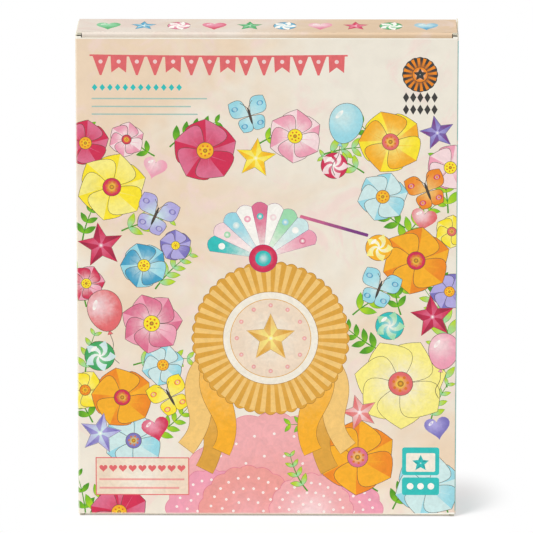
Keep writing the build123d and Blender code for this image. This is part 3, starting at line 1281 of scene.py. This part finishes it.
def axes_of(tree, spot):
    """The X, Y and Z of a place, each as a socket."""
    split = tree.nodes.new("ShaderNodeSeparateXYZ")
    tree.links.new(spot, split.inputs[0])
    return split.outputs


print("helpers:", ", ".join(f.__name__ for f in (noise, ranged, calculate, mixed, scaled)))

# %% [markdown]
# Effects that several finishes share are node groups. Each only puts out colours, masks or
# heights, so any finish can use it. The first is the washed ground of the design: a cream
# and a peach flow into each other in clouds, with blushes of pink and faint streaks of the
# brush. The peach pools at the head on the left and thins out to cream on the right, and
# lower down the two mix evenly. All of it reads the place on the object, so the wash runs on
# over the corner from one wall to the next.

# %% washed ground
COLOUR, NUMBER = "NodeSocketColor", "NodeSocketFloat"
BLANK = (1.0, 1.0, 1.0, 1.0)

wash, wash_in, wash_out = new_group(
    "washed ground",
    [(label, COLOUR, BLANK) for label in ("Light", "Deep", "Tint")],
    [("Color", COLOUR)],
)
spot = place_on_object(wash)
axes = axes_of(wash, spot)
cloud = noise(wash, spot, 13, 4, 0.6, 0.6)
bloom = noise(wash, spot, 34, 5, 0.62, 1.2)
streak = noise(wash, spot, 120, 4, 0.6, 0.4)
lean = ranged(wash, axes["X"], -0.11, 0.09, 0.22, -0.18)
height = ranged(wash, axes["Z"], 0.11, 0.25)
lean = calculate(wash, "MULTIPLY", lean, height)
deepness = ranged(wash, calculate(wash, "ADD", cloud, lean), 0.40, 0.70)
tinting = ranged(wash, bloom, 0.50, 0.68, 0.0, 0.75)
ground = mixed(wash, deepness, wash_in.outputs["Light"], wash_in.outputs["Deep"])
ground = mixed(wash, tinting, ground, wash_in.outputs["Tint"])
shade = ranged(wash, streak, 0.3, 0.7, 0.965, 1.02, smooth=False)
wash.links.new(scaled(wash, ground, shade), wash_out.inputs["Color"])

print("sockets of the washed ground:", [s.name for s in wash.interface.items_tree])

# %% [markdown]
# Watercolour never dries flat: it pools in some places and is speckled by the paper in
# others. The mottle is a number near one that any ink can be multiplied by. Its amount is an
# input, so a calm finish can take less of it than a lively one.

# %% wet paint mottle
mottle, mottle_in, mottle_out = new_group(
    "wet paint mottle", [("Amount", NUMBER, 0.1)], [("Value", NUMBER)]
)
spot = place_on_object(mottle)
pool = noise(mottle, spot, 190, 4, 0.6, 1.5)
speck = noise(mottle, spot, 900, 2, 0.5)
pool = calculate(mottle, "MULTIPLY", pool, 3.0)
centred = calculate(mottle, "SUBTRACT", calculate(mottle, "ADD", pool, speck), 2.0)
spread = calculate(mottle, "MULTIPLY", centred, mottle_in.outputs["Amount"])
mottle.links.new(calculate(mottle, "ADD", spread, 1.0), mottle_out.inputs["Value"])

print("mottle:", len(mottle.nodes), "nodes")

# %% [markdown]
# The grain of the paper shows even through ink and coating: fine fibres on top of a slower,
# felt-like swell. It gives a height for the bump, and a roughness that follows the swell, so
# that highlights on the board break up a little.

# %% paper grain
grain, grain_in, grain_out = new_group(
    "paper grain", [("Fibre", NUMBER, 1.0)], [("Height", NUMBER), ("Gloss", NUMBER)]
)
spot = place_on_object(grain)
fibre = noise(grain, spot, 1500, 3, 0.6, 0.8)
felt = noise(grain, spot, 300, 3, 0.5)
fine = calculate(grain, "MULTIPLY", fibre, grain_in.outputs["Fibre"])
coarse = calculate(grain, "MULTIPLY", felt, 0.6)
grain.links.new(calculate(grain, "ADD", fine, coarse), grain_out.inputs["Height"])
gloss = ranged(grain, felt, 0.3, 0.7, 0.42, 0.54, smooth=False)
grain.links.new(gloss, grain_out.inputs["Gloss"])

print("grain:", len(grain.nodes), "nodes")

# %% [markdown]
# Along creases and cut edges the coating has cracked and come away, and the same mask also
# paints a highlight there: down each upright fold, along the head, and on the foot roll, which
# faces down into shade. A crease is where two walls meet, so a point is near one when it is
# close to the full width and to the full depth at once. The larger of those two gaps is its
# distance from the upright crease, the foot and the head are measured the same way, and noise
# makes the pale strip patchy. The three lengths are in metres, as object coordinates are.

# %% pale creases: cracked coating and painted highlight
patchiness = 0.0011
mask_full_at, mask_empty_at = -0.0004, 0.0003
wear_and_highlight, wear_and_highlight_in, wear_and_highlight_out = new_group(
    "crease wear",
    [(label, NUMBER, 0.1) for label in ("Half Width", "Half Depth", "Foot", "Head")],
    [("Mask", NUMBER)],
)
spot = place_on_object(wear_and_highlight)
axes = axes_of(wear_and_highlight, spot)
across = calculate(wear_and_highlight, "ABSOLUTE", axes["X"])
deep = calculate(wear_and_highlight, "ABSOLUTE", axes["Y"])
gap_x = calculate(wear_and_highlight, "SUBTRACT", wear_and_highlight_in.outputs["Half Width"], across)
gap_y = calculate(wear_and_highlight, "SUBTRACT", wear_and_highlight_in.outputs["Half Depth"], deep)
foot_gap = calculate(wear_and_highlight, "SUBTRACT", axes["Z"], wear_and_highlight_in.outputs["Foot"])
head_gap = calculate(wear_and_highlight, "SUBTRACT", wear_and_highlight_in.outputs["Head"], axes["Z"])
crease_gap = calculate(wear_and_highlight, "MAXIMUM", gap_x, gap_y)
edge_gap = calculate(wear_and_highlight, "MINIMUM", foot_gap, head_gap)
nearest = calculate(wear_and_highlight, "MINIMUM", edge_gap, crease_gap)
patchy = calculate(wear_and_highlight, "MULTIPLY", noise(wear_and_highlight, spot, 260, 4, 0.7), patchiness)
coated = calculate(wear_and_highlight, "SUBTRACT", nearest, patchy)
# 1 where the coating has cracked away, and also where a highlight is painted on folds and edges
rub_and_highlight = ranged(wear_and_highlight, coated, mask_full_at, mask_empty_at, 1.0, 0.0)
wear_and_highlight.links.new(rub_and_highlight, wear_and_highlight_out.inputs["Mask"])

print("groups:", [g.name for g in bpy.data.node_groups])

# %% [markdown]
# Every finish on this carton is board at heart, so what they share is made first: the grain
# gives the bump, and its slow swell gives the roughness. Coated board is smooth and a bit
# shiny, bare board is rough and dull, and a few numbers tell the two apart.

# %% a board's surface
def add_group(tree, group, **values):
    """A node of the given group in a material, with values for its inputs by name."""
    return add_node(tree, "ShaderNodeGroup", {"node_tree": group}, **values)


def new_material(name):
    """A fresh material, with its graph and its shader."""
    material = bpy.data.materials.new(name)
    material.use_nodes = True
    return material, material.node_tree, material.node_tree.nodes["Principled BSDF"]


def board_surface(tree, shader, colour, fibre, bump_strength, bump_height, shine):
    """Gives a shader its colour and the paper grain. Returns the grain's gloss, from which
    each finish makes its own roughness."""
    tree.links.new(colour, shader.inputs["Base Color"])
    paper = add_group(tree, grain, Fibre=fibre)
    bump = add_node(tree, "ShaderNodeBump", Strength=bump_strength, Distance=bump_height)
    tree.links.new(paper.outputs["Height"], bump.inputs["Height"])
    tree.links.new(bump.outputs["Normal"], shader.inputs["Normal"])
    shader.inputs["Specular IOR Level"].default_value = shine
    return paper.outputs["Gloss"]


print("sockets of the paper grain:", [s.name for s in grain.interface.items_tree])

# %% [markdown]
# The printed face. Where a triangle carries ink, its colour runs from the patch's heart to
# its rim, and gets the wet-paint mottle; elsewhere the washed ground shows. Where the crease
# mask is set, both are mixed towards the white of the board: partly bare board where the
# coating has cracked, partly a painted highlight on folds and edges.

# %% printed board
board_white_and_highlight = linear("#f4eddb")


def washed(tree, *tones):
    """The washed ground in three screen colours: light, deep and tint."""
    light, deep, tint = ((*linear(tone), 1.0) for tone in tones)
    return add_group(tree, wash, Light=light, Deep=deep, Tint=tint).outputs["Color"]


def printed_face(name, tones, half_x, foot, head, wear_and_highlight_amount):
    """Satin ink on coated board over a washed ground in three tones."""
    material, tree, shader = new_material(name)

    rim = add_node(tree, "ShaderNodeAttribute", {"attribute_name": "Rim"})
    heart = add_node(tree, "ShaderNodeAttribute", {"attribute_name": "Heart"})
    local = add_node(tree, "ShaderNodeUVMap", {"uv_map": "Motif"})
    reach = add_node(tree, "ShaderNodeVectorMath", {"operation": "LENGTH"})
    tree.links.new(local.outputs[0], reach.inputs[0])
    spot = place_on_object(tree)
    wobble = calculate(tree, "MULTIPLY", noise(tree, spot, 420, 3, 0.6), 0.5)
    blend = ranged(tree, calculate(tree, "ADD", reach.outputs["Value"], wobble), 0.15, 1.10)
    paint = mixed(tree, blend, heart.outputs["Color"], rim.outputs["Color"])

    ground = washed(tree, *tones)
    lively = add_group(tree, mottle, Amount=0.12)
    ink = scaled(tree, paint, lively.outputs["Value"])
    colour = mixed(tree, rim.outputs["Alpha"], ground, ink)

    rubbed_and_highlit = add_group(tree, wear_and_highlight, Half_Width=half_x * MM, Half_Depth=half_depth * MM)
    rubbed_and_highlit.inputs["Foot"].default_value = foot * MM
    rubbed_and_highlit.inputs["Head"].default_value = head * MM
    amount = calculate(tree, "MULTIPLY", rubbed_and_highlit.outputs["Mask"], wear_and_highlight_amount)
    # paler towards board white: bare board where cracked, and a painted highlight on folds, the head
    # and the shaded foot roll
    worn_and_highlit = mixed(tree, amount, colour, board_white_and_highlight)
    gloss = board_surface(
        tree, shader, worn_and_highlit, fibre=0.7, bump_strength=0.25, bump_height=0.00002, shine=0.35
    )
    tree.links.new(gloss, shader.inputs["Roughness"])
    return material


print("board under the coating, in linear light:", board_white_and_highlight.round(3))

# %% [markdown]
# Two faces are made from it. The walls and the base have the full range of the wash, and the
# crease mask's bare board and painted highlight at foot and head. The lid's tones are painted
# darker than the walls', as shade, to offset the stronger light that falls on its top; its wash
# is the other way about, peach on the right, as printed. It has no foot or head of its own, so
# those are put far out of reach.

# %% faces of the walls and the lid
# these amounts also set how strong the painted highlight on folds and edges is
wall_tones, wall_wear_and_highlight = ("#f0e9da", "#eed6ba", "#f3d9d0"), 0.55
# lid tones painted darker than the walls', as shade against the stronger light on the top
lid_tones_painted_darker, lid_wear_and_highlight = ("#dbbf9f", "#e3d7ca", "#e0cbbf"), 0.4
out_of_reach = 10
front_head = lid_top - front_drop
lid_foot, lid_head = -out_of_reach, lid_top + out_of_reach

wall_face = printed_face("printed wall", wall_tones, half_width, foot_drop, front_head, wall_wear_and_highlight)
# the lid's face carries painted shade: its tones are darker to offset the light on its top
lid_face_painted_darker = printed_face("printed lid painted darker", lid_tones_painted_darker, lid_half, lid_foot, lid_head, lid_wear_and_highlight)
for name, film in FILM.items():
    film.data.materials.append(lid_face_painted_darker if name.startswith("lid") else wall_face)

print({name: film.data.materials[0].name for name, film in FILM.items()})

# %% [markdown]
# Bare board shows inside the carton, on the dust flaps, at every cut edge and on the sprung
# tongue by the lid. It is duller and warmer than the coated face: a cream pulp with fibres
# and a few darker flecks, as carton board has on its back.

# %% bare board
bare_board, tree, shader = new_material("bare board")
spot = place_on_object(tree)
pulp = ranged(tree, noise(tree, spot, 60, 5, 0.65), 0.3, 0.7)
pulp_colour = mixed(tree, pulp, linear("#ece7d6"), linear("#e3dcc6"))
flecks = ranged(tree, noise(tree, spot, 2100, 2, 0.5, 1.0), 0.70, 0.78, 0.0, 0.35)
pulp_colour = mixed(tree, flecks, pulp_colour, linear("#a8997a"))
gloss = board_surface(
    tree, shader, pulp_colour, fibre=1.0, bump_strength=0.5, bump_height=0.00004, shine=0.25
)
tree.links.new(calculate(tree, "ADD", gloss, 0.22), shader.inputs["Roughness"])

for node in ("carton_body", "top_lid", "bottom_lid"):
    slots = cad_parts[node].data.materials
    slots.clear()
    slots.append(bare_board)

print("finishes:", [m.name for m in bpy.data.materials])

# %% [markdown]
# The studio floor is pale and plain. To the camera it is partly a lit surface and partly
# plain white, and the white takes over within three and a half centimetres of the carton:
# the photograph was cut out in the same way, so its background is white and its shadow fades
# out close to the box. Distance from the carton is the root of the sum of two squares, how
# far a point lies beside the box and how far in front of it or behind it.

# %% floor
floor_half = 4.0
floor_sink = 0.00008
lit_grey = (0.72, 0.72, 0.72)
seen_grey = (0.935, 0.873, 0.873)
depth_share = 0.55
fade_near, fade_far, least_white = 0.003, 0.035, 0.535

floor_mesh = bpy.data.meshes.new("floor")
floor_ring = rectangle(-floor_half, -floor_half, floor_half, floor_half)
floor_mesh.from_pydata([(x, y, 0.0) for x, y in floor_ring], [], [(0, 1, 2, 3)])
floor = into_scene("floor", floor_mesh)
floor.location.z = -floor_sink

floor_material = bpy.data.materials.new("studio floor")
floor_material.use_nodes = True
tree = floor_material.node_tree
tree.nodes.clear()
surface = tree.nodes.new("ShaderNodeBsdfDiffuse")
glow = tree.nodes.new("ShaderNodeEmission")
path = tree.nodes.new("ShaderNodeLightPath")
share = tree.nodes.new("ShaderNodeMixShader")
output = tree.nodes.new("ShaderNodeOutputMaterial")
seen = path.outputs["Is Camera Ray"]
pale = mixed(tree, seen, lit_grey, seen_grey)
tree.links.new(pale, surface.inputs["Color"])
axes = axes_of(tree, place_on_object(tree))
beside = calculate(tree, "ABSOLUTE", axes["X"])
beside = calculate(tree, "SUBTRACT", beside, half_width * MM)
behind = calculate(tree, "ABSOLUTE", axes["Y"])
behind = calculate(tree, "SUBTRACT", behind, half_depth * MM)
behind = calculate(tree, "MULTIPLY", behind, depth_share)
beside = calculate(tree, "POWER", calculate(tree, "MAXIMUM", beside, 0.0), 2.0)
behind = calculate(tree, "POWER", calculate(tree, "MAXIMUM", behind, 0.0), 2.0)
away = calculate(tree, "SQRT", calculate(tree, "ADD", beside, behind))
fade = ranged(tree, away, fade_near, fade_far, least_white, 1.0)
tree.links.new(calculate(tree, "MULTIPLY", seen, fade), share.inputs[0])
tree.links.new(surface.outputs[0], share.inputs[1])
tree.links.new(glow.outputs[0], share.inputs[2])
tree.links.new(share.outputs[0], output.inputs["Surface"])
floor_mesh.materials.append(floor_material)

print(f"floor: white from {fade_far * 1000:.0f} mm beside the carton")

# %% [markdown]
# The light: an even white surround, and one softbox high on the left and a little in front,
# which throws a short shadow to the right. The softbox is a sun lamp, which is equally strong
# everywhere, so the floor doesn't darken towards the back. Its angle says how large it looks
# from the carton: at 20 degrees the shadow's front edge stays fairly crisp near the corner
# and softens further out, as in the photograph.

# %% light
surround_strength = 0.48
softbox_strength = 2.55
softbox_angle = np.radians(20)
softbox_distance = 1.5

world = bpy.data.worlds.new("studio")
world.use_nodes = True
world.node_tree.nodes["Background"].inputs["Color"].default_value = (1, 1, 1, 1)
world.node_tree.nodes["Background"].inputs["Strength"].default_value = surround_strength
bpy.context.scene.world = world

lamp_data = bpy.data.lights.new("softbox", "SUN")
lamp_data.energy = softbox_strength
lamp_data.angle = softbox_angle
lamp = into_scene("softbox", lamp_data)
to_lamp = Vector((-0.40, -0.40, 0.83)).normalized()
lamp.rotation_euler = to_lamp.to_track_quat("Z", "Y").to_euler()
lamp.location = to_lamp * softbox_distance

bpy.context.scene.view_settings.view_transform = "Standard"

print("light from", to_lamp.to_tuple(2))
